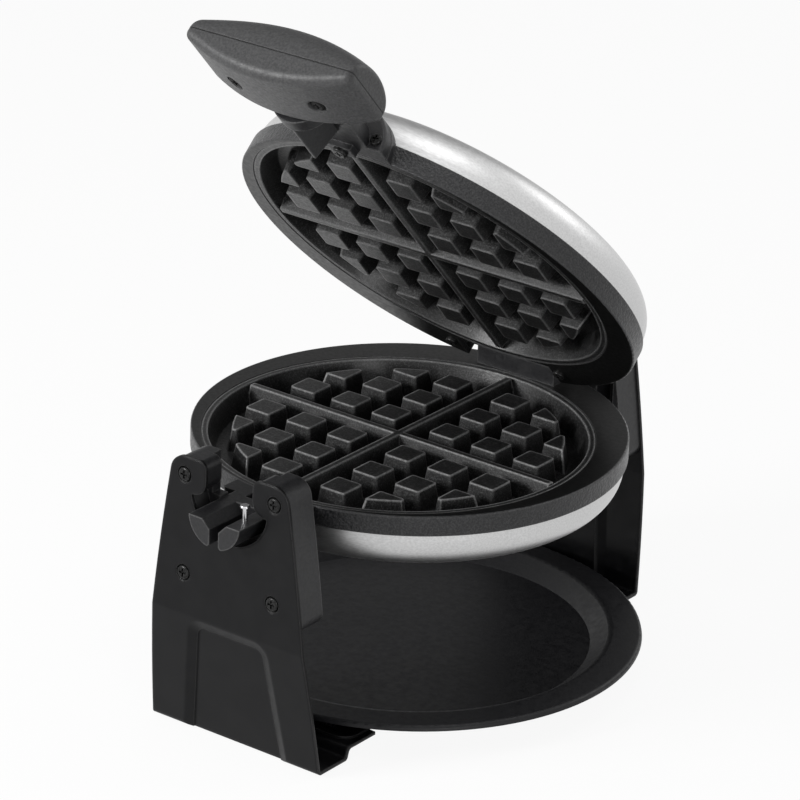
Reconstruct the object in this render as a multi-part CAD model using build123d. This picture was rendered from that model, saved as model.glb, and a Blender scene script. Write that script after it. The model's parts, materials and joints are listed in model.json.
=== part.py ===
from build123d import *
import math
import os

# A countertop waffle maker whose round iron turns over in a stand.
# +X is across the stand, -Y is the front with the handle, +Z is up, and the
# origin is the centre of the base on the table.

# Turning axis, rims and moulds
AXIS_Z = 119.5
HALF_GAP = 1.5
RIM_PROUD = 0.3
IRON_Y = -0.6
MOULD_Y = -9.5

# Lid hinge
HINGE_Y = 90.6
HINGE_Z = 139.35
LID_OPEN = 47.25
HINGE_BARREL_R = 7.5
HINGE_PIN_R = 2.5
HINGE_HALF = 22.5
TROUGH_R = 14.5
TROUGH_WALL = 1.8
CHEEK_HALF = 27.0
LUG_SCREW_Y = 86.0
RUNNING_FIT = 0.05

# Stand sheets, strap and brackets
STAND_Y = 133.7
STAND_FOOT_Y = 125.9
STAND_TOP_Z = 139.7
STAND_BEND_Z = 62.0
STAND_HALF_TOP = 32.2
STAND_HALF_MID = 43.1
STAND_HALF_FOOT = 48.5
SHEET = 1.5
FOOT_PAD = 1.5
LAP_Z = 6.3
LAP_END_Y = 84.0
STRAP_HALF = 45.0
STRAP_END_Y = 101.0
STRAP_T = 1.2
BRACKET_DEPTH = 16.0
EAR_DEPTH = 10.5
EAR_GAP_HALF = 13.3
EAR_LOW_Z = 122.4
BOWL_R = 21.8
BOWL_Z = 125.5
SEAT_R = 3.9
SEAT_DEPTH = 1.3
PANEL_RECESS = 1.6
PANEL_STEP = 0.7
PANEL_SLOPE = 4.6
SCREW_X = 25.5
SCREW_HIGH_Z = 130.7
SCREW_LOW_Z = 82.5
RIVET_X = 30.0
RIVET_Y = 94.0

# Split front shaft
SHAFT_R = 14.5
SHAFT_END_Y = -144.0
COLLAR_R = 22.0
COLLAR_Y = -111.0
SLOT_HALF = 2.6
V_HALF = 8.0
KEEL_REAR_Y = -121.0
COLLAR_SCREW_X = 17.0
COLLAR_SCREW_RISE = 6.2
COLLAR_SCREW_LENGTH = 12.5
PIN_X = 9.5
PIN_Y = -134.0
PIN_R = 1.2
PIN_HEAD_R = 2.3
PIN_TOP_Z = 126.2

# Rear shaft and stop ring
REAR_SHAFT_R = 12.0
REAR_BORE_R = 9.0
REAR_COLLAR_Y = 110.0
STOP_RING_R = 17.0
KEY_HALF = 10.0
QUARTER = 90.0
WIRE_Z = 113.0

# Cover over the rear shaft's open end
COVER_HALF = 20.0
COVER_DEPTH = 12.5
COVER_WALL = 2.0
COVER_LOW_Z = 98.0
COVER_TOP_Z = 138.0
COVER_SCREW_X = 15.5
COVER_SCREW_Z = COVER_LOW_Z + 4.5
CORD_R = 3.0

# Rim rings and shells, the same pressings on both halves
RIM_R = 101.9
RIM_H = 9.5
RIM_FLAT = 2.5
RIM_INNER_R = 100.3
SHELL_R = 100.2
SHELL_EDGE = 6.6
SHELL_SIDE_Z = 25.2
SHELL_SHOULDER_R = 16.0
SHELL_FLAT_R = 34.0
SHELL_FLAT_Z = 34.2
SHELL_T = 0.8

# Cast waffle plates
LIP_R = 91.3
LIP_T = 3.0
MOULD_R = 88.3
MOULD_FLOOR_R = 84.5
MOULD_DEPTH = 11.0
PLATE_FLOOR = 3.5
CUBE_PITCH = 24.0
CUBE_FIRST = 16.92
CUBE_TOP = 13.7
CUBE_TAPER = 10.0
PARTIAL_R = 77.0
RIDGE_TOP = 3.2
RIDGE_BASE = 9.0
RIDGE_HALF = 86.8

# Heating parts
ELEMENT_R = 50.0
ELEMENT_TUBE_R = 3.5
ELEMENT_ARC = 320.0
SHIELD_R = 76.0
SHIELD_T = 0.8
SHIELD_Z = 25.3
BOSS_CIRCLE_R = 66.0
BOSS_CIRCLE_Y = -5.0

# Handle
HANDLE_HALF = 45.3
HANDLE_FRONT_Y = -187.8
HANDLE_REAR_Y = -152.0
HANDLE_SPLIT_Z = 120.0
HANDLE_TOP_Z = 138.2
HANDLE_TOP_R = 121.0
HANDLE_LOW_Z = 106.5
HANDLE_LOW_R = 112.0
HANDLE_WALL = 2.6
HANDLE_STATIONS = (-HANDLE_HALF, -30, -15, 0, 15, 30, HANDLE_HALF)
HOLLOW_STATIONS = (-38, -30, -15, 0, 15, 30, 38)
HANDLE_FRONT_ROUND = 4.5
HANDLE_REAR_ROUND = 3.0
HANDLE_END_ROUND = 3.0
HANDLE_SCREW_X = 22.6
HANDLE_SCREW_Y = -167.6
TENON_HALF = 9.0

# Drip tray
TRAY_Y = 3.0
TRAY_R = 111.0
TRAY_FLOOR_R = 87.0
TRAY_WALL_R = 96.5
TRAY_T = 1.0

# Controls on the lid
PANEL_R = 31.0
PANEL_T = 3.0
KNOB_Y = -9.0
KNOB_R = 13.0
KNOB_H = 11.0
LIGHT_X = 10.0
LIGHT_Y = 14.0
LIGHT_R = 3.0

UPPER_Z = AXIS_Z + HALF_GAP
LOWER_Z = AXIS_Z - HALF_GAP
RIM_EDGE_Z = RIM_H - RIM_PROUD
PLATE_BACK_Z = MOULD_DEPTH + PLATE_FLOOR
LOWER_RIM_Z = LOWER_Z + RIM_PROUD
UPPER_RIM_Z = UPPER_Z - RIM_PROUD
STRAP_TOP_Z = LAP_Z + SHEET + STRAP_T

lid_swing = Pos(0, HINGE_Y, HINGE_Z) * Rot(-LID_OPEN, 0, 0) * Pos(0, -HINGE_Y, -HINGE_Z)

os.makedirs("parts", exist_ok=True)


# Helpers


def box(x0, x1, y0, y1, z0, z1):
    block = Box(x1 - x0, y1 - y0, z1 - z0)
    return Pos((x0 + x1) / 2, (y0 + y1) / 2, (z0 + z1) / 2) * block


def rod_x(radius, x0, x1, y, z):
    return Pos((x0 + x1) / 2, y, z) * Rot(0, 90, 0) * Cylinder(radius, x1 - x0)


def rod_y(radius, y0, y1, x=0.0, z=AXIS_Z):
    return Pos(x, (y0 + y1) / 2, z) * Rot(90, 0, 0) * Cylinder(radius, y1 - y0)


def rod_z(radius, z0, z1, x=0.0, y=0.0):
    return Pos(x, y, (z0 + z1) / 2) * Cylinder(radius, z1 - z0)


def prism_y(points, y0, y1):
    """A prism along Y from its front view, given as (x, z) points."""
    view = Plane.XZ * Polygon(*points, align=None)
    return Pos(0, (y0 + y1) / 2, 0) * extrude(view, (y1 - y0) / 2, both=True)


def prism_x(points, half):
    """A prism along X from its side view, given as (y, z) points."""
    return extrude(Plane.YZ * Polygon(*points, align=None), half, both=True)


def sector_y(r_in, r_out, start, sweep, y0, y1):
    """Part of a ring round the turning axis; angles run from +Z towards +X."""
    middle = (r_in + r_out) / 2
    section = Plane.YZ * Pos((y0 + y1) / 2, middle) * Rectangle(y1 - y0, r_out - r_in)
    return Pos(0, 0, AXIS_Z) * Rot(0, start, 0) * revolve(section, Axis.Y, sweep)


def save(name, shape):
    shape.label = name
    export_step(shape, f"parts/{name}.step")


def group(solids):
    return Compound(children=list(solids))


def pan_screw(head_r, head_h, shank_r, length):
    """A cross-head screw along Z, with the head's seat at z = 0."""
    head = rod_z(head_r, 0, head_h)
    head = fillet(head.edges().group_by(Axis.Z)[-1], head_h * 0.5)
    arm = Box(head_r * 1.2, 0.9, head_h * 0.6)
    recess = Pos(0, 0, head_h * 0.75) * (arm + Rot(0, 0, 90) * arm)
    return head - recess + rod_z(shank_r, -length, 0.01)


def facing_front(part, x, y, z):
    return Pos(x, y, z) * Rot(90, 0, 0) * part


def facing_rear(part, x, y, z):
    return Pos(x, y, z) * Rot(-90, 0, 0) * part


def facing_down(part, x, y, z):
    return Pos(x, y, z) * Rot(180, 0, 0) * part


def to_upper(part):
    return Pos(0, 0, UPPER_Z) * part


def to_lower(part):
    return Pos(0, 0, LOWER_Z) * mirror(part, about=Plane.XY)


# Stand


def corners(view, x, z):
    """The vertices of a front view at a height, the same distance either side of the middle."""
    return [v for v in view.vertices() if abs(abs(v.X) - x) < 0.6 and abs(v.Z - z) < 0.6]


def stand_outline():
    """The front view of a stand sheet."""
    foot = [(-STAND_HALF_FOOT, 0), (STAND_HALF_FOOT, 0)]
    top = [(-STAND_HALF_TOP, STAND_TOP_Z), (STAND_HALF_TOP, STAND_TOP_Z)]
    with BuildSketch(Plane.XZ) as view:
        with BuildLine():
            Line(foot[0], foot[1])
            ThreePointArc(foot[1], (STAND_HALF_MID, 64), top[1])
            Line(top[1], top[0])
            ThreePointArc(top[0], (-STAND_HALF_MID, 64), foot[0])
        make_face()
    return fillet(view.sketch.vertices().group_by(Axis.Z)[-1], 9)


def front_outline():
    """The front stand's view, with a bowl round the shaft below two rounded ears."""
    bowl = Pos(0, BOWL_Z) * Circle(BOWL_R) - Pos(0, EAR_LOW_Z + 30) * Rectangle(60, 60)
    throat = Pos(0, EAR_LOW_Z + 20) * Rectangle(2 * EAR_GAP_HALF, 50)
    view = stand_outline() - Plane.XZ * (bowl + throat)
    bowl_half = math.sqrt(BOWL_R**2 - (BOWL_Z - EAR_LOW_Z) ** 2)
    view = fillet(corners(view, EAR_GAP_HALF, STAND_TOP_Z), 4.5)
    view = fillet(corners(view, EAR_GAP_HALF, EAR_LOW_Z), 7)
    return fillet(corners(view, bowl_half, EAR_LOW_Z), 1)


def pressed_panel(depth):
    """The panel pressed into the leaning lower half of a stand sheet, seen from a depth in it."""
    lean = math.atan2(STAND_Y - STAND_FOOT_Y, STAND_BEND_Z - FOOT_PAD)
    inward = (0, math.cos(lean), math.sin(lean))
    plane = Plane(origin=(0, -STAND_Y, STAND_BEND_Z), x_dir=(1, 0, 0), z_dir=inward)
    outline = Polygon((-22.4, 1), (22.4, 1), (32.7, 80), (-32.7, 80), align=None)
    outline = fillet(outline.vertices().group_by(Axis.Y)[0], 9)
    slope = extrude(plane.offset(depth) * outline, PANEL_RECESS, taper=70)
    inner = offset(outline, -PANEL_SLOPE)
    inner += Pos(0, PANEL_SLOPE + 2) * inner
    return slope + extrude(plane.offset(depth + PANEL_RECESS - 0.1) * inner, PANEL_STEP + 0.1, taper=20)


def stand_sheet(view):
    """A front stand sheet with the given front view."""
    with BuildSketch(Plane.YZ) as side:
        with BuildLine():
            FilletPolyline(
                (-STAND_Y, STAND_TOP_Z), (-STAND_Y, STAND_BEND_Z), (-STAND_FOOT_Y, FOOT_PAD),
                (-105, FOOT_PAD), (-103, LAP_Z), (-LAP_END_Y, LAP_Z), radius=2.2,
            )
            offset(amount=SHEET, side=Side.LEFT)
        make_face()
    bent = extrude(side.sketch, STAND_HALF_FOOT + 5, both=True)
    sheet = bent & extrude(view, STAND_Y + 20, both=True)
    sheet += pressed_panel(SHEET) & box(-40, 40, -STAND_Y, -STAND_FOOT_Y + 8, FOOT_PAD, 70)
    sheet -= pressed_panel(0)
    seat_y = -STAND_Y + SEAT_DEPTH
    for x, z in screw_places():
        sheet += rod_y(SEAT_R + 1.1, seat_y, seat_y + SHEET, x, z)
        sheet -= rod_y(SEAT_R, -STAND_Y - 1, seat_y, x, z)
        sheet -= rod_y(2.1, seat_y - 1, seat_y + 3, x, z)
    for x in (-RIVET_X, RIVET_X):
        sheet -= rod_z(2.05, LAP_Z - 1, LAP_Z + 3, x, -RIVET_Y)
    return sheet


def screw_places():
    return [(x, z) for x in (-SCREW_X, SCREW_X) for z in (SCREW_LOW_Z, SCREW_HIGH_Z)]


def bracket_layer(view, depth):
    """The moulded block behind a front stand sheet, to a depth."""
    front = STAND_Y - SHEET
    outline = offset(view & (Plane.XZ * Pos(0, 107) * Rectangle(120, 74)), -0.8)
    outline = fillet(outline.vertices().group_by(Axis.Z)[0], 6)
    block = Pos(0, -front, 0) * extrude(outline, -depth)
    seat_y = -STAND_Y + SEAT_DEPTH
    for x, z in screw_places():
        block -= rod_y(SEAT_R + 1.2, -front - 1, seat_y + SHEET + 0.1, x, z)
        block -= rod_y(2.0, -front - 1, -front + 11, x, z)
    return block


def bracket_pocket():
    """Moulding pockets in the inner face of a bracket."""
    deep = -(STAND_Y - SHEET) + 4
    inner = deep + BRACKET_DEPTH
    side = box(24.5, 34, deep, inner, 91, 118)
    low = box(-14, 14, deep, inner, 76, 98)
    return side + mirror(side, about=Plane.YZ) + low


def make_stand():
    save("front_stand_plate", stand_sheet(front_outline()))
    rear = mirror(stand_sheet(stand_outline()), about=Plane.XZ) - rod_y(13, STAND_Y - 3, STAND_Y + 3)
    for x in (-COVER_SCREW_X, COVER_SCREW_X):
        rear -= rod_y(1.6, STAND_Y - 3, STAND_Y + 3, x, COVER_SCREW_Z)
    save("rear_stand_plate", rear)

    front = STAND_Y - SHEET
    inner = front - BRACKET_DEPTH
    wall = bracket_layer(stand_outline(), BRACKET_DEPTH)
    wall &= box(-60, 60, EAR_DEPTH - front, -inner, 60, 150)
    wall -= rod_y(SHAFT_R + RUNNING_FIT, -front, -inner + 1)
    wall -= box(-19, 19, -front, -inner + 1, AXIS_Z, 150)
    bracket = bracket_layer(front_outline(), EAR_DEPTH) + wall
    save("front_bearing_bracket", bracket - bracket_pocket())

    housing = mirror(bracket_layer(stand_outline(), BRACKET_DEPTH) - bracket_pocket(), about=Plane.XZ)
    housing -= rod_y(STOP_RING_R + RUNNING_FIT, inner - 1, STAND_Y)
    housing -= stop_groove(STOP_RING_R - 1, STOP_RING_R + 3.3, 124.7, 131.7)
    for x in (-COVER_SCREW_X, COVER_SCREW_X):
        housing -= rod_y(1.5, STAND_Y - 12, STAND_Y, x, COVER_SCREW_Z)
    save("rear_bearing_housing", housing)

    screw = pan_screw(3.3, 1.9, 2.0, 11)
    seat_y = STAND_Y - SEAT_DEPTH
    save("front_bracket_screws", group(facing_front(screw, x, -seat_y, z) for x, z in screw_places()))
    save("rear_bracket_screws", group(facing_rear(screw, x, seat_y, z) for x, z in screw_places()))

    strap = box(-STRAP_HALF, STRAP_HALF, -STRAP_END_Y, STRAP_END_Y, LAP_Z + SHEET, STRAP_TOP_Z)
    strap = fillet(strap.edges().filter_by(Axis.Z), 8)
    rivets = []
    pads = []
    for sx in (-1, 1):
        for sy in (-1, 1):
            x, y = sx * RIVET_X, sy * RIVET_Y
            strap -= rod_z(2.05, LAP_Z, STRAP_TOP_Z + 1, x, y)
            head = rod_z(3.8, LAP_Z - 1.3, LAP_Z, x, y)
            head = fillet(head.edges().group_by(Axis.Z)[0], 0.8)
            rivets.append(head + rod_z(2.0, LAP_Z - 0.1, STRAP_TOP_Z, x, y))
            pad = Pos(sx * 34, sy * 115, FOOT_PAD / 2) * Box(20, 13, FOOT_PAD)
            pads.append(fillet(pad.edges().filter_by(Axis.Z), 4))
    save("base_strap", strap)
    save("base_strap_rivets", group(rivets))
    save("rubber_feet", group(pads))


def make_rear_cover():
    """A box over the open end of the rear shaft, with the gland for the cord under it."""
    back = STAND_Y + COVER_DEPTH
    cord_y = STAND_Y + COVER_DEPTH / 2
    cover = box(-COVER_HALF, COVER_HALF, STAND_Y, back, COVER_LOW_Z, COVER_TOP_Z)
    cover = fillet(cover.edges().filter_by(Axis.Y), 6)
    cover = fillet(cover.edges().group_by(Axis.Y)[-1], 2)
    inner = COVER_HALF - COVER_WALL
    floor_z = COVER_LOW_Z + COVER_WALL
    hollow = box(-inner, inner, STAND_Y - 1, back - COVER_WALL, floor_z, COVER_TOP_Z - COVER_WALL)
    cover -= fillet(hollow.edges().filter_by(Axis.Y), 4)
    for x in (-COVER_SCREW_X, COVER_SCREW_X):
        post = rod_y(3.2, STAND_Y, back - 1, x, COVER_SCREW_Z)
        cover += post & box(-COVER_HALF, COVER_HALF, STAND_Y, back, COVER_LOW_Z + 1, COVER_TOP_Z)
        cover -= rod_y(1.6, STAND_Y - 1, back + 1, x, COVER_SCREW_Z)
    cover -= rod_z(CORD_R + 1.1, COVER_LOW_Z - 1, floor_z + 1, 0, cord_y)
    save("rear_shaft_cover", cover)

    screw = pan_screw(3.0, 1.8, 1.5, COVER_DEPTH + 10)
    places = (-COVER_SCREW_X, COVER_SCREW_X)
    save("rear_cover_screws", group(facing_rear(screw, x, back, COVER_SCREW_Z) for x in places))

    gland = rod_z(CORD_R + 1, COVER_LOW_Z - 9, COVER_LOW_Z + 4, 0, cord_y)
    gland += rod_z(CORD_R + 2.4, COVER_LOW_Z - 4, COVER_LOW_Z, 0, cord_y)
    gland += rod_z(CORD_R + 1.2, floor_z, floor_z + 1.6, 0, cord_y)
    save("cord_gland", gland - rod_z(CORD_R - 0.1, COVER_LOW_Z - 10, COVER_LOW_Z + 5, 0, cord_y))


def make_tray():
    floor_z = STRAP_TOP_Z + 0.3
    with BuildSketch(Plane.XZ) as side:
        with BuildLine():
            FilletPolyline(
                (0, floor_z), (TRAY_FLOOR_R, floor_z), (TRAY_WALL_R, 16.8), (TRAY_R - 1.2, 16.2),
                (TRAY_R - 0.8, 14.6), radius=(1.6, 3.0, 0.8),
            )
            offset(amount=TRAY_T, side=Side.LEFT)
        make_face()
    save("drip_tray", Pos(0, TRAY_Y, 0) * revolve(side.sketch, Axis.Z))


# Halves of the iron, in a frame where z = 0 is the mould's lip and +Z is outward


def ridge(along_x):
    """A ridge across the mould, with its top at z = 0."""
    profile = [
        (-RIDGE_TOP / 2, 0), (RIDGE_TOP / 2, 0), (RIDGE_BASE / 2, MOULD_DEPTH),
        (-RIDGE_BASE / 2, MOULD_DEPTH),
    ]
    bar = prism_y(profile, -RIDGE_HALF, RIDGE_HALF)
    return Rot(0, 0, 90) * bar if along_x else bar


def cube(column, row):
    """One pocket-forming cube, with its top at z = 0."""
    x = CUBE_FIRST + (column - 1) * CUBE_PITCH
    y = CUBE_FIRST + (row - 1) * CUBE_PITCH
    top = Pos(x, y) * RectangleRounded(CUBE_TOP, CUBE_TOP, 1.2)
    return extrude(top, MOULD_DEPTH, taper=-CUBE_TAPER)


def waffle_plate():
    body = rod_z(LIP_R, 0, LIP_T)
    body += Pos(0, 0, LIP_T) * Cone(
        89.4, 85.5, PLATE_BACK_Z - LIP_T, align=(Align.CENTER, Align.CENTER, Align.MIN)
    )
    body -= Cone(
        MOULD_R, MOULD_FLOOR_R, MOULD_DEPTH, align=(Align.CENTER, Align.CENTER, Align.MIN)
    )
    quarter = Part()
    for column, row in ((1, 1), (2, 1), (3, 1), (1, 2), (2, 2), (1, 3)):
        quarter += cube(column, row)
    for column, row in ((3, 2), (2, 3)):
        quarter += cube(column, row) & Cone(
            PARTIAL_R, PARTIAL_R + 2, MOULD_DEPTH, align=(Align.CENTER, Align.CENTER, Align.MIN)
        )
    half = quarter + mirror(quarter, about=Plane.YZ)
    body += half + mirror(half, about=Plane.XZ)
    body += ridge(True) + ridge(False)
    body = Pos(0, MOULD_Y, 0) * body
    for x, y in boss_places():
        body += rod_z(3.6, PLATE_BACK_Z - 0.5, SHIELD_Z, x, y)
        body -= rod_z(1.25, PLATE_BACK_Z + 2, SHIELD_Z + 1, x, y)
    return body


def boss_places():
    angles = [math.radians(a) for a in (30, 150, 270)]
    return [
        (BOSS_CIRCLE_R * math.cos(a), BOSS_CIRCLE_Y + BOSS_CIRCLE_R * math.sin(a)) for a in angles
    ]


def rim_ring():
    ring = rod_z(RIM_R, -RIM_PROUD, RIM_EDGE_Z)
    ring = fillet(ring.edges().group_by(Axis.Z)[0], 0.8)
    ring = Pos(0, IRON_Y, 0) * ring
    cavity = rod_z(RIM_INNER_R, RIM_FLAT - RIM_PROUD, RIM_EDGE_Z + 1, 0, IRON_Y)
    cavity -= rod_z(93.5, RIM_FLAT - RIM_PROUD - 1, SHELL_EDGE - 0.3, 0, MOULD_Y)
    ring -= cavity
    ring -= rod_z(LIP_R + 0.2, -1, LIP_T, 0, MOULD_Y)
    ring -= rod_z(89.6, LIP_T - 1, RIM_EDGE_Z + 1, 0, MOULD_Y)
    return ring


def dome(inset):
    """A filled shell, drawn in by the sheet's thickness for its inside."""
    across = SHELL_R - inset
    top = SHELL_FLAT_Z - inset
    side_z = SHELL_SIDE_Z - inset
    with BuildSketch(Plane.XZ) as side:
        with BuildLine():
            crown = TangentArc((SHELL_FLAT_R, top), (across, side_z), tangent=(1, 0))
            Polyline(crown @ 1, (across, SHELL_EDGE - inset), (0, SHELL_EDGE - inset), (0, top),
                     crown @ 0)
        make_face()
    shoulder = [v for v in side.sketch.vertices() if v.X > across - 1 and v.Z > SHELL_EDGE + 3]
    profile = fillet(shoulder, SHELL_SHOULDER_R - inset)
    return Pos(0, IRON_Y, 0) * revolve(profile, Axis.Z)


def shell():
    return dome(0) - dome(SHELL_T)


def iron_envelope():
    """The outside of one half, for parts that are shaped to sit on it."""
    band = rod_z(RIM_R + 0.1, -RIM_PROUD - 1, RIM_EDGE_Z, 0, IRON_Y)
    return dome(-0.1) + band


def heating_element():
    tube = Plane.XZ * Pos(ELEMENT_R, PLATE_BACK_Z + ELEMENT_TUBE_R) * Circle(ELEMENT_TUBE_R)
    ring = revolve(tube, Axis.Z, ELEMENT_ARC)
    gap = (360 - ELEMENT_ARC) / 2
    ring = Rot(0, 0, 90 + gap) * ring
    for side in (-1, 1):
        a = math.radians(90 + side * gap)
        low = PLATE_BACK_Z + ELEMENT_TUBE_R
        ring += rod_z(2.4, low, low + 7, ELEMENT_R * math.cos(a), ELEMENT_R * math.sin(a))
    return Pos(0, MOULD_Y, 0) * ring


def heat_shield():
    disc = rod_z(SHIELD_R, SHIELD_Z, SHIELD_Z + SHIELD_T, 0, IRON_Y)
    for x, y in boss_places():
        disc -= rod_z(1.6, SHIELD_Z - 1, SHIELD_Z + 2, x, y)
    return disc


def shield_screws():
    screw = pan_screw(3.0, 1.6, 1.2, 7)
    return [Pos(x, y, SHIELD_Z + SHIELD_T) * screw for x, y in boss_places()]


def terminal_block():
    block = box(-13, 13, 50, 62, PLATE_BACK_Z, PLATE_BACK_Z + 8)
    for x in (-7, 7):
        block -= rod_z(2.0, PLATE_BACK_Z + 4, PLATE_BACK_Z + 9, x, 56)
    return block


def sensor():
    can = rod_z(7.5, PLATE_BACK_Z, PLATE_BACK_Z + 6, 22, MOULD_Y)
    can = fillet(can.edges().group_by(Axis.Z)[-1], 1.2)
    for y in (-3.0, 3.0):
        can += box(21.6, 22.4, MOULD_Y + y - 1.5, MOULD_Y + y + 1.5, PLATE_BACK_Z + 5, PLATE_BACK_Z + 9)
    return can


# Hinge


def hinge_knuckle():
    """The lower body's centre knuckle, standing on the rim's wide rear part."""
    stem = prism_x(
        [(82.4, LOWER_RIM_Z), (82.4, 127), (84.5, 139.35), (96.7, 139.35), (98.5, 127),
         (98.5, LOWER_RIM_Z)], HINGE_HALF,
    )
    knuckle = stem + rod_x(HINGE_BARREL_R, -HINGE_HALF, HINGE_HALF, HINGE_Y, HINGE_Z)
    knuckle -= rod_x(HINGE_PIN_R, -HINGE_HALF - 1, HINGE_HALF + 1, HINGE_Y, HINGE_Z)
    for x in (-14, 14):
        knuckle -= rod_z(1.5, LOWER_RIM_Z - 1, 129, x, 90)
    return knuckle


def hinge_cut(half):
    """The room that the knuckle and trough need in the closed lid."""
    room = rod_x(TROUGH_R + 0.1, -half, half, HINGE_Y, HINGE_Z)
    room += box(-half, half, 81.4, 110, 115, HINGE_Z)
    room += box(-half, half, HINGE_Y, 110, 115, HINGE_Z + TROUGH_R + 0.1)
    return room


def hinge_trough():
    """The lid's hinge housing: a trough over the knuckle, with a cheek at each end."""
    trough = rod_x(TROUGH_R, -CHEEK_HALF, CHEEK_HALF, HINGE_Y, HINGE_Z)
    inner_r = TROUGH_R - TROUGH_WALL
    trough -= rod_x(inner_r, -HINGE_HALF - 0.3, HINGE_HALF + 0.3, HINGE_Y, HINGE_Z)
    reach = 60
    opening = [(HINGE_Y, HINGE_Z)]
    for a in (math.radians(-48), 0.0, math.radians(91)):
        opening.append((HINGE_Y + reach * math.sin(a), HINGE_Z - reach * math.cos(a)))
    trough -= prism_x(opening, HINGE_HALF + 0.3)
    trough -= rod_x(HINGE_PIN_R + RUNNING_FIT, -40, 40, HINGE_Y, HINGE_Z)
    for side in (-1, 1):
        x0, x1 = sorted((side * (CHEEK_HALF - 1), side * (CHEEK_HALF + 8)))
        lug = box(x0, x1, 82, 90, UPPER_RIM_Z + RIM_FLAT, HINGE_Z - 10)
        lug -= rod_z(1.5, UPPER_RIM_Z, HINGE_Z - 11, side * (CHEEK_HALF + 4.5), LUG_SCREW_Y)
        trough += lug
    return trough


# Front and rear shafts


def collar(front_y):
    """The disc by which a front shaft half is screwed to its rim."""
    disc = rod_y(COLLAR_R, front_y, -94)
    return fillet(disc.edges().group_by(Axis.Y)[0], 1.5)


def prong_section():
    """The lower shaft half cut by its V groove and slot, seen from the front."""
    v_low = AXIS_Z - 5.6
    section = Pos(0, AXIS_Z) * Circle(SHAFT_R) - Pos(0, LOWER_RIM_Z + 20) * Rectangle(60, 40)
    section -= Polygon(
        (-V_HALF, AXIS_Z), (V_HALF, AXIS_Z), (SLOT_HALF, v_low), (-SLOT_HALF, v_low), align=None
    )
    section -= Pos(0, v_low - 10) * Rectangle(2 * SLOT_HALF, 20.1)
    section = Plane.XZ * section
    low = AXIS_Z - math.sqrt(SHAFT_R**2 - SLOT_HALF**2)
    return fillet(corners(section, SLOT_HALF, low), 1.6)


def shaft_prongs():
    """The lower half of the split front shaft, with its slot between two prongs."""
    low_half = box(-30, 30, -160, -90, 60, LOWER_RIM_Z)
    groove_end = KEEL_REAR_Y + 0.8
    shaft = rod_y(SHAFT_R, groove_end, COLLAR_Y) + collar(COLLAR_Y)
    shaft &= low_half
    shaft = shaft - to_lower(iron_envelope())
    shaft += Pos(0, SHAFT_END_Y, 0) * extrude(prong_section(), SHAFT_END_Y - groove_end)
    shaft -= box(-7.3, 7.3, COLLAR_Y - 2, -103.2, 113, 125)
    shaft -= rod_z(PIN_R, 112, 119, PIN_X, PIN_Y)
    for x in (-COLLAR_SCREW_X, COLLAR_SCREW_X):
        shaft -= rod_y(1.6, COLLAR_Y - 1, -90, x, AXIS_Z - COLLAR_SCREW_RISE)
    return shaft


def hub():
    """The upper half of the split front shaft, with its keel and the handle's core."""
    high_half = box(-30, 30, -160, -90, UPPER_RIM_Z, 160)
    body = rod_y(SHAFT_R, -150, COLLAR_Y) + collar(COLLAR_Y)
    body -= rod_y(COLLAR_R + 1, -105, -104.2) - rod_y(COLLAR_R - 0.6, -106, -103)
    body &= high_half
    body = body - to_upper(iron_envelope())
    body += rod_y(SHAFT_R, -151.3, SHAFT_END_Y - 0.5)
    keel = [(-3.6, UPPER_RIM_Z + 0.1), (3.6, UPPER_RIM_Z + 0.1), (0.6, 105), (-0.6, 105)]
    body += prism_y(keel, -150, KEEL_REAR_Y)
    body += box(-6.5, 6.5, COLLAR_Y + 0.5, -104, 117.5, UPPER_RIM_Z + 1)
    body -= rod_z(1.6, 116, 133, 0, -107.5)
    pin_room = PIN_HEAD_R + 0.5
    for y in (PIN_Y, PIN_Y + 1.4):
        body -= rod_z(pin_room, 118, PIN_TOP_Z + 0.6, PIN_X, y)
    body -= box(PIN_X - pin_room, PIN_X + pin_room, PIN_Y, PIN_Y + 1.4, 118, PIN_TOP_Z + 0.6)
    body += box(-TENON_HALF, TENON_HALF, -177, -150, 115, 125)
    body += box(-28, 28, -177, -165, 116, 124)
    for x in (-HANDLE_SCREW_X, HANDLE_SCREW_X):
        body -= rod_z(1.8, 110, 130, x, HANDLE_SCREW_Y)
    for x in (-COLLAR_SCREW_X, COLLAR_SCREW_X):
        body -= rod_y(1.6, COLLAR_Y - 1, -90, x, AXIS_Z + COLLAR_SCREW_RISE)
    return body


def locating_pin():
    head = rod_z(PIN_HEAD_R, PIN_TOP_Z - 1, PIN_TOP_Z, PIN_X, PIN_Y)
    head = fillet(head.edges().group_by(Axis.Z)[-1], 0.5)
    return head + rod_z(PIN_R, 112, PIN_TOP_Z - 0.5, PIN_X, PIN_Y)


def stop_groove(r_in, r_out, y0, y1):
    """Room for a key that turns a quarter, with a degree to spare at each end."""
    return sector_y(r_in, r_out, 180 - KEY_HALF - 1, QUARTER + 2 * KEY_HALF + 2, y0, y1)


def rear_shaft():
    shaft = rod_y(REAR_SHAFT_R, 104.5, 140)
    collar = rod_y(COLLAR_R, 92, REAR_COLLAR_Y) & box(-30, 30, 90, 112, 60, LOWER_RIM_Z)
    shaft += collar - to_lower(iron_envelope())
    shaft -= rod_y(REAR_BORE_R, 104, 141)
    shaft -= rod_y(2.5, 92, 104, 0, WIRE_Z)
    shaft += sector_y(REAR_SHAFT_R - 0.5, REAR_SHAFT_R + 2.4, 180 - KEY_HALF, 2 * KEY_HALF, 118, 124)
    for x in (-COLLAR_SCREW_X, COLLAR_SCREW_X):
        shaft -= rod_y(1.6, 90, REAR_COLLAR_Y + 1, x, AXIS_Z - COLLAR_SCREW_RISE)
    return shaft


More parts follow.
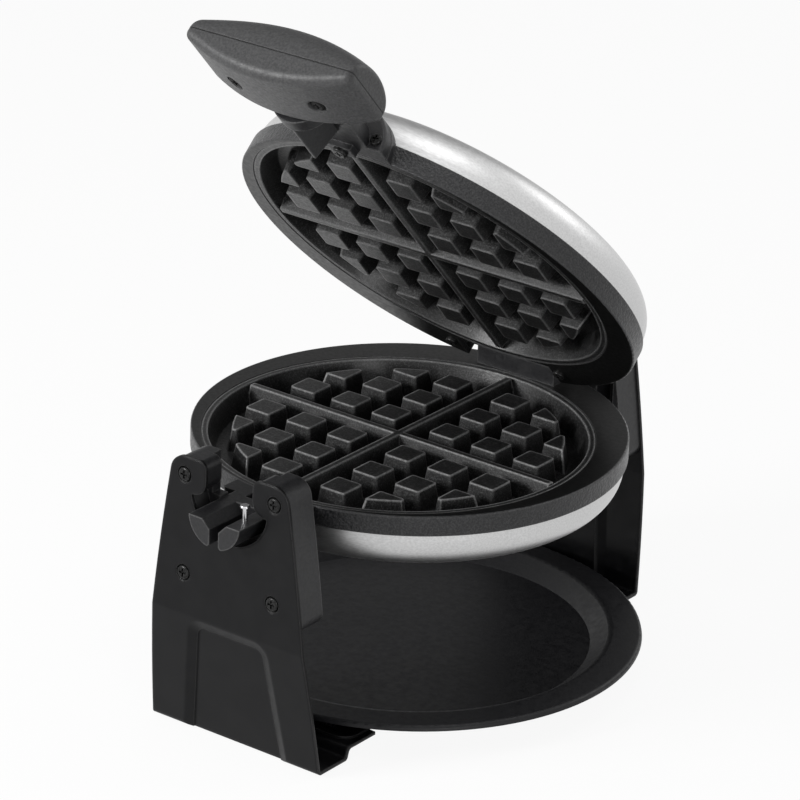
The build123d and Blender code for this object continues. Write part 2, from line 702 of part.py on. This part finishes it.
def stop_ring():
    ring = rod_y(STOP_RING_R, 117, 131.4) - rod_y(REAR_SHAFT_R + RUNNING_FIT, 116, 132)
    ring -= stop_groove(REAR_SHAFT_R - 1, REAR_SHAFT_R + 2.8, 116.5, 124.4)
    return ring + sector_y(STOP_RING_R - 1, STOP_RING_R + 3, 180 - KEY_HALF, 2 * KEY_HALF, 125, 131.4)


def collar_screws(facing, y, z):
    """The pair of screws that hold a shaft's collar to a rim ring."""
    screw = pan_screw(2.8, 1.6, 1.5, COLLAR_SCREW_LENGTH)
    return group(facing(screw, x, y, z) for x in (-COLLAR_SCREW_X, COLLAR_SCREW_X))


def collar_screw_holes(y0, y1, z):
    left = rod_y(1.5, y0, y1, -COLLAR_SCREW_X, z)
    return left + mirror(left, about=Plane.YZ)


def make_lower_iron():
    ring = to_lower(rim_ring())
    ring -= rod_y(2.6, 92, 110, 0, WIRE_Z)
    ring -= collar_screw_holes(-110, -97, AXIS_Z - COLLAR_SCREW_RISE)
    ring -= collar_screw_holes(95, 110, AXIS_Z - COLLAR_SCREW_RISE)
    for x in (-14, 14):
        ring -= rod_z(1.7, LOWER_RIM_Z - 4, LOWER_RIM_Z + 1, x, 90)
    save("lower_rim_ring", ring)

    bowl = to_lower(shell())
    bowl -= rod_y(2.6, 92, 110, 0, WIRE_Z)
    save("lower_shell", bowl)

    save("lower_waffle_plate", to_lower(waffle_plate()))
    save("lower_heating_element", to_lower(heating_element()))
    save("lower_heat_shield", to_lower(heat_shield()))
    save("lower_shield_screws", group(to_lower(s) for s in shield_screws()))
    save("lower_terminal_block", to_lower(terminal_block()))
    save("lower_thermal_cutout", to_lower(sensor()))
    save("front_shaft_prongs", shaft_prongs())
    save("locating_pin", locating_pin())
    save("rear_shaft", rear_shaft())
    save("lid_hinge_knuckle", hinge_knuckle())

    pin = rod_x(HINGE_PIN_R, -CHEEK_HALF + 0.2, CHEEK_HALF - 0.2, HINGE_Y, HINGE_Z)
    save("lid_hinge_pin", chamfer(pin.edges(), 0.4))

    clip = rod_y(15.5, 134.2, 135.4) - rod_y(REAR_SHAFT_R, 134, 136)
    save("shaft_retaining_clip", clip)
    save("rear_wire_sleeve", rod_y(2.2, 88, 139, 0, WIRE_Z))

    screw = pan_screw(3.0, 1.8, 1.5, 9)
    knuckle_set = [facing_down(screw, x, 90, LOWER_RIM_Z - RIM_FLAT) for x in (-14, 14)]
    save("hinge_knuckle_screws", group(knuckle_set))
    save("front_shaft_screws", collar_screws(facing_front, COLLAR_Y, AXIS_Z - COLLAR_SCREW_RISE))
    save("rear_shaft_screws", collar_screws(facing_rear, REAR_COLLAR_Y, AXIS_Z - COLLAR_SCREW_RISE))


# Handle


def arc_drop(radius, x):
    """How far an arc has dropped from its middle, at x along its chord."""
    return radius - math.sqrt(radius**2 - x**2)


def crown_section(x, inset):
    """The upper half of the handle cut at x: half an ellipse."""
    front = HANDLE_FRONT_Y + inset
    rear = HANDLE_REAR_Y - inset
    high = HANDLE_TOP_Z - HANDLE_SPLIT_Z - arc_drop(HANDLE_TOP_R, x) - inset
    with BuildSketch(Plane.YZ.offset(x)) as section:
        with BuildLine():
            middle = ((front + rear) / 2, HANDLE_SPLIT_Z)
            bow = EllipticalCenterArc(middle, (rear - front) / 2, high, 0, arc_size=180)
            Line(bow @ 1, bow @ 0)
        make_face()
    return section.sketch


def bowl_section(x, inset):
    """The lower half of the handle cut at x: a box with rounded lower corners."""
    front = HANDLE_FRONT_Y + inset
    rear = HANDLE_REAR_Y - inset
    low = HANDLE_LOW_Z + arc_drop(HANDLE_LOW_R, x) + inset
    depth = HANDLE_SPLIT_Z - low
    section = Polygon(
        (front, HANDLE_SPLIT_Z), (front, low), (rear, low), (rear, HANDLE_SPLIT_Z), align=None
    )
    low_corners = section.vertices().group_by(Axis.Y)[0].sort_by(Axis.X)
    section = fillet(low_corners[0], min(HANDLE_FRONT_ROUND - inset / 2, 0.8 * depth))
    low_corners = section.vertices().group_by(Axis.Y)[0].sort_by(Axis.X)
    section = fillet(low_corners[-1], min(HANDLE_REAR_ROUND - inset / 2, 0.8 * depth))
    return Plane.YZ.offset(x) * section


def handle_half(make_section):
    """One half of the handle as a solid, with the edges of its ends rounded."""
    body = loft([make_section(x, 0) for x in HANDLE_STATIONS])
    ends = body.faces().sort_by(Axis.X)
    rims = []
    for face in (ends[0], ends[-1]):
        rims += [e for e in face.edges() if abs(e.center().Z - HANDLE_SPLIT_Z) > 0.1]
    return fillet(rims, HANDLE_END_ROUND)


def make_handle():
    low_solid = handle_half(bowl_section)
    top_solid = handle_half(crown_section)
    opening = box(-TENON_HALF - 0.1, TENON_HALF + 0.1, -160, -150, 114.9, 125.1)

    top = top_solid - loft([crown_section(x, HANDLE_WALL) for x in HOLLOW_STATIONS]) - opening
    low = low_solid - loft([bowl_section(x, HANDLE_WALL) for x in HOLLOW_STATIONS]) - opening
    for x in (-HANDLE_SCREW_X, HANDLE_SCREW_X):
        top += rod_z(4.4, 124, 140, x, HANDLE_SCREW_Y) & top_solid
        top -= rod_z(1.4, 123, 131, x, HANDLE_SCREW_Y)
        low += rod_z(6.0, 100, 116, x, HANDLE_SCREW_Y) & low_solid
        low -= rod_z(4.2, 100, 111, x, HANDLE_SCREW_Y)
        low -= rod_z(1.8, 100, 117, x, HANDLE_SCREW_Y)
    save("handle_top_shell", lid_swing * top)
    save("handle_bottom_shell", lid_swing * low)

    screw = pan_screw(3.4, 2.0, 1.4, 18)
    screws = [facing_down(screw, x, HANDLE_SCREW_Y, 111) for x in (-HANDLE_SCREW_X, HANDLE_SCREW_X)]
    save("handle_screws", lid_swing * group(screws))


def make_lid():
    ring = to_upper(rim_ring()) - hinge_cut(CHEEK_HALF + 0.1)
    for x in (-CHEEK_HALF - 4.5, CHEEK_HALF + 4.5):
        ring -= rod_z(1.7, UPPER_RIM_Z - 1, UPPER_RIM_Z + 4, x, LUG_SCREW_Y)
    ring -= collar_screw_holes(-110, -97, AXIS_Z + COLLAR_SCREW_RISE)
    save("upper_rim_ring", lid_swing * ring)

    cover = to_upper(shell()) - hinge_cut(CHEEK_HALF + 0.1)
    top = UPPER_Z + SHELL_FLAT_Z
    cover -= rod_z(4.8, top - 5, top + 1, 0, KNOB_Y)
    for x in (-LIGHT_X, LIGHT_X):
        cover -= rod_z(LIGHT_R + 0.2, top - 5, top + 1, x, LIGHT_Y)
    for x in (-22, 22):
        cover -= rod_z(2.1, top - 5, top + 1, x, IRON_Y)
    save("upper_shell", lid_swing * cover)

    save("upper_waffle_plate", lid_swing * to_upper(waffle_plate()))
    save("upper_heating_element", lid_swing * to_upper(heating_element()))
    save("upper_heat_shield", lid_swing * to_upper(heat_shield()))
    save("upper_shield_screws", lid_swing * group(to_upper(s) for s in shield_screws()))
    save("upper_terminal_block", lid_swing * to_upper(terminal_block()))
    save("upper_temperature_sensor", lid_swing * to_upper(sensor()))
    save("lid_hinge_housing", lid_swing * hinge_trough())
    save("front_shaft_hub", lid_swing * hub())

    lug_screw = pan_screw(3.0, 1.8, 1.5, 4.8)
    lug_x = CHEEK_HALF + 4.5
    lugs = [facing_down(lug_screw, x, LUG_SCREW_Y, UPPER_RIM_Z) for x in (-lug_x, lug_x)]
    save("hinge_housing_screws", lid_swing * group(lugs))
    hub_screw = pan_screw(3.6, 2.0, 1.6, 14)
    save("hub_clamp_screw", lid_swing * facing_down(hub_screw, 0, -107.5, 117.5))
    hub_set = collar_screws(facing_front, COLLAR_Y, AXIS_Z + COLLAR_SCREW_RISE)
    save("hub_screws", lid_swing * hub_set)


def make_controls():
    top = UPPER_Z + SHELL_FLAT_Z
    panel = rod_z(PANEL_R, top, top + PANEL_T, 0, IRON_Y)
    panel = fillet(panel.edges().group_by(Axis.Z)[-1], 1.5)
    panel -= rod_z(4.6, top - 1, top + PANEL_T + 1, 0, KNOB_Y)
    for x in (-LIGHT_X, LIGHT_X):
        panel -= rod_z(LIGHT_R, top - 1, top + PANEL_T + 1, x, LIGHT_Y)
    for x in (-22, 22):
        panel += rod_z(2.0, top - 4, top + 0.5, x, IRON_Y)
    save("control_panel", lid_swing * panel)

    lens = rod_z(LIGHT_R, top - 6, top + PANEL_T + 1.2)
    lens = fillet(lens.edges().group_by(Axis.Z)[-1], 1.4)
    save("power_light", lid_swing * Pos(-LIGHT_X, LIGHT_Y, 0) * lens)
    save("ready_light", lid_swing * Pos(LIGHT_X, LIGHT_Y, 0) * lens)

    thermostat = box(-12, 12, KNOB_Y - 12, KNOB_Y + 12, top - 7, top - SHELL_T)
    thermostat = fillet(thermostat.edges().filter_by(Axis.Z), 2)
    thermostat += rod_z(4.4, top - SHELL_T - 0.1, top + PANEL_T, 0, KNOB_Y)
    thermostat += rod_z(3.0, top + PANEL_T - 0.1, top + PANEL_T + 10, 0, KNOB_Y)
    save("browning_thermostat", lid_swing * thermostat)

    base = top + PANEL_T + 0.4
    knob = rod_z(KNOB_R, base, base + KNOB_H, 0, KNOB_Y)
    knob = fillet(knob.edges().group_by(Axis.Z)[-1], 2)
    for i in range(24):
        turn = Pos(0, KNOB_Y, 0) * Rot(0, 0, 15 * i)
        knob -= turn * rod_z(0.9, base - 1, base + KNOB_H - 2.5, KNOB_R + 0.3, 0)
    knob -= rod_z(3.0 + RUNNING_FIT, base - 1, base + 9.8, 0, KNOB_Y)
    knob -= Pos(0, KNOB_Y - 8.5, base + KNOB_H) * Box(1.2, 6, 1)
    save("browning_knob", lid_swing * knob)


make_stand()
make_rear_cover()
make_tray()
save("rotation_stop_ring", stop_ring())
make_lower_iron()
make_lid()
make_handle()
make_controls()
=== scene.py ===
import json
import math

import bpy
from mathutils import Matrix, Vector

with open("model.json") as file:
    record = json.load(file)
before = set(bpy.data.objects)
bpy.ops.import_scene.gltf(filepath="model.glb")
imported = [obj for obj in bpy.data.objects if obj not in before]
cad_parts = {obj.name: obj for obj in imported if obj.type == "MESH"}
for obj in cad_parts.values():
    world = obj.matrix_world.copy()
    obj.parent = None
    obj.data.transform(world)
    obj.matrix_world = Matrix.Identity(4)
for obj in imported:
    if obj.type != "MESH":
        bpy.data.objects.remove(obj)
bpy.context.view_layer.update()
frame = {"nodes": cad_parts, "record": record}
nodes = frame["nodes"]
scene = bpy.context.scene

# Camera, fitted to the photograph

AZIMUTH = math.radians(36.22)
ELEVATION = math.radians(23.47)
ROLL = math.radians(2.74)
LEVEL = math.radians(0.8)
DISTANCE = 2.1367
SENSOR_WIDTH = 36
FOCAL_IN_SENSORS = 5.771
CLIP_END = 30
SHIFT_RIGHT = 0.00071
SHIFT_UP = 0.01494
LOOK_FROM = Vector((0, -0.0095, 0.118))


def place_camera():
    back = Vector((math.sin(AZIMUTH) * math.cos(ELEVATION),
                   -math.cos(AZIMUTH) * math.cos(ELEVATION),
                   math.sin(ELEVATION)))
    right = Vector((math.cos(AZIMUTH), math.sin(AZIMUTH), 0))
    up = back.cross(right)
    rolled_right = right * math.cos(ROLL) + up * math.sin(ROLL)
    rolled_up = up * math.cos(ROLL) - right * math.sin(ROLL)
    view = Matrix((rolled_right, rolled_up, back)).transposed().to_4x4()
    view.translation = (back * DISTANCE + rolled_right * SHIFT_RIGHT + rolled_up * SHIFT_UP
                        + LOOK_FROM)
    turn = (Matrix.Translation(LOOK_FROM) @ Matrix.Rotation(LEVEL, 4, "Y")
            @ Matrix.Translation(-LOOK_FROM))
    data = bpy.data.cameras.new("camera")
    data.sensor_width = SENSOR_WIDTH
    data.lens = FOCAL_IN_SENSORS * SENSOR_WIDTH
    data.clip_end = CLIP_END
    camera = bpy.data.objects.new("camera", data)
    camera.matrix_world = turn @ view
    scene.collection.objects.link(camera)
    scene.camera = camera


# The lid as it stands in the photograph, and the joint between the handle's halves

LID_OPEN = math.radians(47.25)
LID_HINGE = Vector((0, 0.0906, 0.13935))
LID_UP = Vector((0, math.sin(LID_OPEN), math.cos(LID_OPEN)))
SEAM_BELOW_HINGE = 0.01935
SEAM_HALF_WIDTH = 0.0003


# Materials

# The colour mix node's sockets share their names, so they are told apart by number
MIX_FACTOR, MIX_FIRST, MIX_SECOND, MIX_RESULT = 0, 6, 7, 2
NEAR_BLACK = (0.001, 0.001, 0.001)
BRUSHED = (0.05, 1, 1)
ROLLED = (1, 10, 1)


class Finish:
    """A Principled material whose colour, roughness and bump are driven by noise."""

    def __init__(self, name, colour, roughness, metallic=0.0, specular=0.5):
        self.mat = bpy.data.materials.new(name)
        self.mat.use_nodes = True
        self.tree = self.mat.node_tree
        self.shader = self.tree.nodes["Principled BSDF"].inputs
        self.shader["Base Color"].default_value = (*colour, 1)
        self.shader["Roughness"].default_value = roughness
        self.shader["Metallic"].default_value = metallic
        self.shader["Specular IOR Level"].default_value = specular
        self.place = self.tree.nodes.new("ShaderNodeTexCoord").outputs["Object"]

    def node(self, kind, **values):
        made = self.tree.nodes.new(kind)
        for key, value in values.items():
            setattr(made, key, value)
        return made

    def link(self, source, target):
        self.tree.links.new(source, target)

    def noise(self, size, stretch=(1, 1, 1)):
        """Noise with features about size metres across."""
        mapping = self.node("ShaderNodeMapping")
        mapping.inputs["Scale"].default_value = [s / size for s in stretch]
        self.link(self.place, mapping.inputs["Vector"])
        made = self.node("ShaderNodeTexNoise")
        made.inputs["Scale"].default_value = 1.0
        made.inputs["Detail"].default_value = 3.0
        self.link(mapping.outputs["Vector"], made.inputs["Vector"])
        return made.outputs["Fac"]

    def remap(self, source, start, end, low, high):
        """Low where the source is at start, high where it is at end."""
        made = self.node("ShaderNodeMapRange")
        made.inputs["From Min"].default_value = start
        made.inputs["From Max"].default_value = end
        made.inputs["To Min"].default_value = low
        made.inputs["To Max"].default_value = high
        self.link(source, made.inputs["Value"])
        return made.outputs["Result"]

    def spread(self, size, low, high, stretch=(1, 1, 1)):
        """A value that noise varies from low to high."""
        return self.remap(self.noise(size, stretch), 0.3, 0.7, low, high)

    def dot(self, source, vector):
        made = self.node("ShaderNodeVectorMath", operation="DOT_PRODUCT")
        self.link(source, made.inputs[0])
        made.inputs[1].default_value = vector
        return made.outputs["Value"]

    def colours(self, size, first, second, low=0.35, high=0.65, stretch=(1, 1, 1)):
        ramp = self.node("ShaderNodeValToRGB")
        stops = ramp.color_ramp.elements
        for stop, position, colour in zip(stops, (low, high), (first, second)):
            stop.position = position
            stop.color = (*colour, 1)
        self.link(self.noise(size, stretch), ramp.inputs["Fac"])
        self.link(ramp.outputs["Color"], self.shader["Base Color"])

    def roughness(self, size, low, high, stretch=(1, 1, 1)):
        self.link(self.spread(size, low, high, stretch), self.shader["Roughness"])

    def tint(self, share, colour):
        """Mix a colour over the present one, by a share that a socket gives."""
        mix = self.node("ShaderNodeMix", data_type="RGBA")
        self.link(share, mix.inputs[MIX_FACTOR])
        self.link(self.shader["Base Color"].links[0].from_socket, mix.inputs[MIX_FIRST])
        mix.inputs[MIX_SECOND].default_value = (*colour, 1)
        self.link(mix.outputs[MIX_RESULT], self.shader["Base Color"])

    def grain(self, size, height, stretch=(1, 1, 1), strength=None):
        bump = self.node("ShaderNodeBump")
        bump.inputs["Distance"].default_value = height
        bump.inputs["Strength"].default_value = 1.0
        if strength:
            self.link(strength, bump.inputs["Strength"])
        self.link(self.noise(size, stretch), bump.inputs["Height"])
        before = self.shader["Normal"].links
        if before:
            self.link(before[0].from_socket, bump.inputs["Normal"])
        self.link(bump.outputs["Normal"], self.shader["Normal"])

    def rounded(self, radius):
        """Shade the sharp edges as if they had this radius."""
        edge = self.node("ShaderNodeBevel", samples=4)
        edge.inputs["Radius"].default_value = radius
        self.link(edge.outputs["Normal"], self.shader["Normal"])

    def painted_edge_highlight(self, width, colour, amount):
        """A lighter line painted along outward edges, as a painted highlight."""
        inside = self.node("ShaderNodeAmbientOcclusion", inside=True, only_local=True, samples=6)
        inside.inputs["Distance"].default_value = width
        # Inside occlusion finds the outward edges; the lighter colour mixed in there is a painted
        # highlight.
        highlight_share = self.remap(inside.outputs["AO"], 0.96, 0.7, 0.0, amount)
        patchy = self.node("ShaderNodeMath", operation="MULTIPLY")
        self.link(highlight_share, patchy.inputs[0])
        self.link(self.spread(0.0012, 0.4, 1.0), patchy.inputs[1])
        self.tint(patchy.outputs[0], colour)

    def dark_line(self, point, normal, half_width):
        """Darken the colour close to a plane given in the object's own space."""
        away = self.node("ShaderNodeVectorMath", operation="SUBTRACT")
        self.link(self.place, away.inputs[0])
        away.inputs[1].default_value = point
        near = self.node("ShaderNodeMath", operation="ABSOLUTE")
        self.link(self.dot(away.outputs[0], normal), near.inputs[0])
        line = self.node("ShaderNodeMath", operation="LESS_THAN")
        self.link(near.outputs[0], line.inputs[0])
        line.inputs[1].default_value = half_width
        self.tint(line.outputs[0], NEAR_BLACK)


def powder_coat():
    made = Finish("powder_coat", (0.003, 0.003, 0.003), 0.34, specular=0.17)
    made.colours(0.012, (0.0025, 0.0025, 0.003), (0.004, 0.004, 0.0045))
    made.roughness(0.004, 0.28, 0.38)
    made.rounded(0.002)
    made.grain(0.0006, 0.000012)
    # Painted highlight: a lighter line along the coat's outward edges.
    made.painted_edge_highlight(0.0005, (0.05, 0.05, 0.05), 0.6)
    return made.mat


def moulded_plastic():
    made = Finish("moulded_plastic", (0.009, 0.009, 0.010), 0.42, specular=0.35)
    made.colours(0.0012, (0.007, 0.007, 0.008), (0.014, 0.014, 0.015))
    made.roughness(0.002, 0.36, 0.5)
    made.rounded(0.0008)
    made.grain(0.0006, 0.00004)
    # Painted highlight: a lighter line along the plastic's outward edges.
    made.painted_edge_highlight(0.0008, (0.1, 0.1, 0.1), 0.6)
    return made.mat


def rim_plastic(name, mating_side):
    """Grained outside; smooth and dark on the flat face that meets the other half."""
    made = Finish(name, (0.009, 0.009, 0.010), 0.38, specular=0.4)
    made.colours(0.0008, (0.004, 0.004, 0.005), (0.035, 0.035, 0.036), low=0.4, high=0.75)
    facing = made.dot(made.node("ShaderNodeTexCoord").outputs["Normal"], mating_side)
    flat = made.remap(facing, 0.9, 0.97, 0.0, 1.0)
    made.tint(flat, NEAR_BLACK)
    made.roughness(0.002, 0.32, 0.46)
    made.rounded(0.0006)
    outside = made.node("ShaderNodeMath", operation="SUBTRACT")
    outside.inputs[0].default_value = 1.0
    made.link(flat, outside.inputs[1])
    made.grain(0.0013, 0.0004, strength=outside.outputs[0])
    # Painted highlight: a lighter line along the rim's outward edges.
    made.painted_edge_highlight(0.0006, (0.08, 0.08, 0.08), 0.5)
    return made.mat


def handle_plastic(name, seam=False):
    """Satin plastic; seam draws the dark joint between the handle's two halves."""
    made = Finish(name, (0.04, 0.04, 0.041), 0.46, specular=0.35)
    made.colours(0.0011, (0.027, 0.027, 0.028), (0.060, 0.060, 0.061), low=0.3, high=0.7)
    made.roughness(0.002, 0.40, 0.54)
    if seam:
        made.dark_line(LID_HINGE - SEAM_BELOW_HINGE * LID_UP, LID_UP, SEAM_HALF_WIDTH)
    made.rounded(0.0012)
    made.grain(0.0008, 0.00009)
    return made.mat


def black_screw(name="black_screw", light=0.03, metallic=0.6, roughness=0.3):
    made = Finish(name, (0.012, 0.012, 0.012), roughness, metallic, specular=0.2)
    made.colours(0.001, [light / 3] * 3, [light] * 3)
    made.grain(0.0004, 0.00001)
    return made.mat


def bright_steel():
    made = Finish("bright_steel", (0.62, 0.62, 0.63), 0.22, 1.0)
    made.roughness(0.001, 0.16, 0.3)
    made.grain(0.0006, 0.000008)
    return made.mat


def shell_steel():
    made = Finish("shell_steel", (0.6, 0.6, 0.6), 0.4, 1.0)
    made.colours(0.0007, (0.51, 0.51, 0.51), (0.60, 0.60, 0.60), stretch=BRUSHED)
    made.roughness(0.0006, 0.36, 0.46, stretch=BRUSHED)
    made.grain(0.0006, 0.000006, stretch=BRUSHED)
    return made.mat


def cast_plate(name, highlight_amount):
    """Non-stick coating with a coarse grain, and painted highlights along the edges of the
    pockets.
    """
    made = Finish(name, (0.012, 0.012, 0.013), 0.4, specular=0.3)
    made.shader["Coat Weight"].default_value = 0.15
    made.shader["Coat Roughness"].default_value = 0.2
    made.colours(0.0007, (0.003, 0.003, 0.003), (0.06, 0.06, 0.061), low=0.48, high=0.8)
    made.roughness(0.0015, 0.34, 0.5)
    made.rounded(0.0012)
    made.grain(0.0009, 0.00012)
    # Painted highlight: a light grey mixed in along the pocket edges.
    made.painted_edge_highlight(0.0011, (0.3, 0.3, 0.3), highlight_amount)
    return made.mat


def element_steel():
    made = Finish("element_steel", (0.25, 0.23, 0.21), 0.45, 1.0)
    made.colours(0.01, (0.20, 0.17, 0.15), (0.34, 0.32, 0.3))
    made.grain(0.0008, 0.00002)
    return made.mat


def shield_metal():
    made = Finish("shield_metal", (0.7, 0.7, 0.7), 0.35, 1.0)
    made.roughness(0.004, 0.3, 0.42, stretch=ROLLED)
    made.grain(0.001, 0.00001, stretch=ROLLED)
    return made.mat


def ceramic():
    made = Finish("ceramic", (0.8, 0.77, 0.7), 0.5)
    made.colours(0.003, (0.76, 0.73, 0.66), (0.84, 0.82, 0.76))
    made.grain(0.0006, 0.00003)
    return made.mat


def foot_rubber():
    made = Finish("foot_rubber", (0.012, 0.012, 0.012), 0.7)
    made.colours(0.004, (0.010, 0.010, 0.010), (0.018, 0.018, 0.018))
    made.grain(0.0008, 0.00005)
    return made.mat


def glass_sleeve():
    made = Finish("glass_sleeve", (0.8, 0.77, 0.68), 0.8)
    made.colours(0.0012, (0.68, 0.64, 0.55), (0.86, 0.84, 0.78))
    made.grain(0.0011, 0.0002, stretch=(1, 0.5, 1))
    return made.mat


def nylon():
    made = Finish("nylon", (0.72, 0.7, 0.65), 0.4)
    made.colours(0.005, (0.68, 0.66, 0.6), (0.76, 0.74, 0.7))
    made.grain(0.0006, 0.00002)
    return made.mat


def tray_coat():
    made = Finish("tray_coat", (0.006, 0.006, 0.007), 0.42, specular=0.26)
    made.colours(0.0012, (0.004, 0.004, 0.005), (0.009, 0.009, 0.010))
    made.roughness(0.003, 0.36, 0.5)
    made.grain(0.0007, 0.00003)
    return made.mat


def lens(name, colour):
    made = Finish(name, colour, 0.12)
    made.colours(0.002, colour, [c * 0.8 for c in colour])
    made.grain(0.0012, 0.00005)
    return made.mat


FINISHES = {
    "stand_black": powder_coat(),
    "moulded_black": moulded_plastic(),
    "handle_black": handle_plastic("dark_plastic"),
    "screw_black": black_screw(),
    "bright_steel": bright_steel(),
    "shell_steel": shell_steel(),
    # The lower plate gets the full painted edge highlight.
    "cast_plate": cast_plate("cast_plate", 1.0),
    "element_steel": element_steel(),
    "shield_metal": shield_metal(),
    "ceramic": ceramic(),
    "sensor_metal": shield_metal(),
    "foot_rubber": foot_rubber(),
    "sleeve": glass_sleeve(),
    "nylon": nylon(),
    "tray_black": tray_coat(),
    "red_lens": lens("red_lens", (0.45, 0.02, 0.015)),
    "green_lens": lens("green_lens", (0.02, 0.35, 0.07)),
}


def dress_nodes():
    slots = {part["node"]: part["material_slot"] for part in frame["record"]["subparts"]}
    special = {"lower_rim_ring": rim_plastic("lower_rim", (0, 0, 1)),
               "upper_rim_ring": rim_plastic("upper_rim", -LID_UP)}
    handle = handle_plastic("handle_plastic", seam=True)
    special["handle_top_shell"] = handle
    special["handle_bottom_shell"] = handle
    # The handle's screws are near black and matt: painted shade standing in for the dark screw
    # holes.
    special["handle_screws"] = black_screw("painted_shade_screw", light=0.002, metallic=0.0, roughness=0.6)
    # The lid's plate gets a fainter painted edge highlight than the lower plate.
    special["upper_waffle_plate"] = cast_plate("upper_cast_plate", 0.35)
    for name, obj in nodes.items():
        finish = special.get(name) or FINISHES[slots[name]]
        for slot in obj.material_slots:
            slot.material = finish


# Room and light

FLOOR_HALF = 6.0
FLOOR_GLOW = 0.92
ROOM_LIGHT = 0.3
DARK_SIDE = Vector((-0.53, 0.73, 0.42)).normalized()
DARK_FROM, DARK_FULL = 0.82, 0.96
DARK_LEVEL = 0.3
LAMPS_AIM = Vector((0, 0, 0.15))


def maths(tree, kind, *inputs):
    """A maths node whose inputs are numbers or sockets."""
    made = tree.nodes.new("ShaderNodeMath")
    made.operation = kind
    for socket, value in zip(made.inputs, inputs):
        if isinstance(value, float):
            socket.default_value = value
        else:
            tree.links.new(value, socket)
    return made.outputs[0]


def lay_floor():
    """A pale matt floor that glows to the camera and in gloss, and shows shadows."""
    mesh = bpy.data.meshes.new("floor")
    half = FLOOR_HALF
    corners = [(-half, -half, 0), (half, -half, 0), (half, half, 0), (-half, half, 0)]
    mesh.from_pydata(corners, [], [(0, 1, 2, 3)])
    floor = bpy.data.objects.new("floor", mesh)
    scene.collection.objects.link(floor)
    white = bpy.data.materials.new("floor_white")
    white.use_nodes = True
    tree = white.node_tree
    shader = tree.nodes["Principled BSDF"]
    shader.inputs["Base Color"].default_value = (0.9, 0.9, 0.9, 1)
    shader.inputs["Roughness"].default_value = 0.9
    shader.inputs["Specular IOR Level"].default_value = 0.0
    glow = tree.nodes.new("ShaderNodeEmission")
    mix = tree.nodes.new("ShaderNodeMixShader")
    path = tree.nodes.new("ShaderNodeLightPath").outputs
    seen = maths(tree, "MAXIMUM", path["Is Camera Ray"], path["Is Glossy Ray"])
    tree.links.new(maths(tree, "MULTIPLY", seen, FLOOR_GLOW), mix.inputs["Fac"])
    tree.links.new(shader.outputs[0], mix.inputs[1])
    tree.links.new(glow.outputs[0], mix.inputs[2])
    tree.links.new(mix.outputs[0], tree.nodes["Material Output"].inputs["Surface"])
    mesh.materials.append(white)


def build_room():
    """White to the camera, dimmer as light, and darker in gloss towards one side."""
    world = bpy.data.worlds.new("room")
    scene.world = world
    world.use_nodes = True
    tree = world.node_tree
    path = tree.nodes.new("ShaderNodeLightPath").outputs
    direction = tree.nodes.new("ShaderNodeTexCoord").outputs["Generated"]
    aim = tree.nodes.new("ShaderNodeVectorMath")
    aim.operation = "DOT_PRODUCT"
    aim.inputs[1].default_value = DARK_SIDE
    tree.links.new(direction, aim.inputs[0])
    dark = tree.nodes.new("ShaderNodeMapRange")
    dark.interpolation_type = "SMOOTHSTEP"
    dark.inputs["From Min"].default_value = DARK_FROM
    dark.inputs["From Max"].default_value = DARK_FULL
    dark.inputs["To Min"].default_value = 1.0
    dark.inputs["To Max"].default_value = DARK_LEVEL
    tree.links.new(aim.outputs["Value"], dark.inputs["Value"])
    seen = maths(tree, "MAXIMUM", path["Is Camera Ray"], path["Is Transmission Ray"])
    mirrored = maths(tree, "MULTIPLY", path["Is Glossy Ray"], dark.outputs["Result"])
    lit = maths(tree, "MULTIPLY", path["Is Diffuse Ray"], ROOM_LIGHT)
    strength = maths(tree, "MAXIMUM", maths(tree, "MAXIMUM", seen, mirrored), lit)
    background = tree.nodes["Background"].inputs
    background["Color"].default_value = (1, 1, 1, 1)
    tree.links.new(strength, background["Strength"])


def softbox(name, place, width, height, watts):
    data = bpy.data.lights.new(name, "AREA")
    data.shape = "RECTANGLE"
    data.size = width
    data.size_y = height
    data.energy = watts
    lamp = bpy.data.objects.new(name, data)
    lamp.location = place
    aim = LAMPS_AIM - Vector(place)
    lamp.rotation_euler = aim.to_track_quat("-Z", "Y").to_euler()
    scene.collection.objects.link(lamp)


def lights():
    softbox("key", (-0.68, -1.23, 0.67), 0.5, 0.4, 20)
    softbox("right", (1.15, -0.8, 0.35), 0.3, 0.3, 3)
    softbox("back", (0.6, 1.2, 1.0), 0.8, 0.6, 3)
    softbox("top", (0.1, -0.1, 1.7), 0.8, 0.8, 4)


place_camera()
dress_nodes()
lay_floor()
build_room()
lights()

scene.view_settings.view_transform = "Standard"
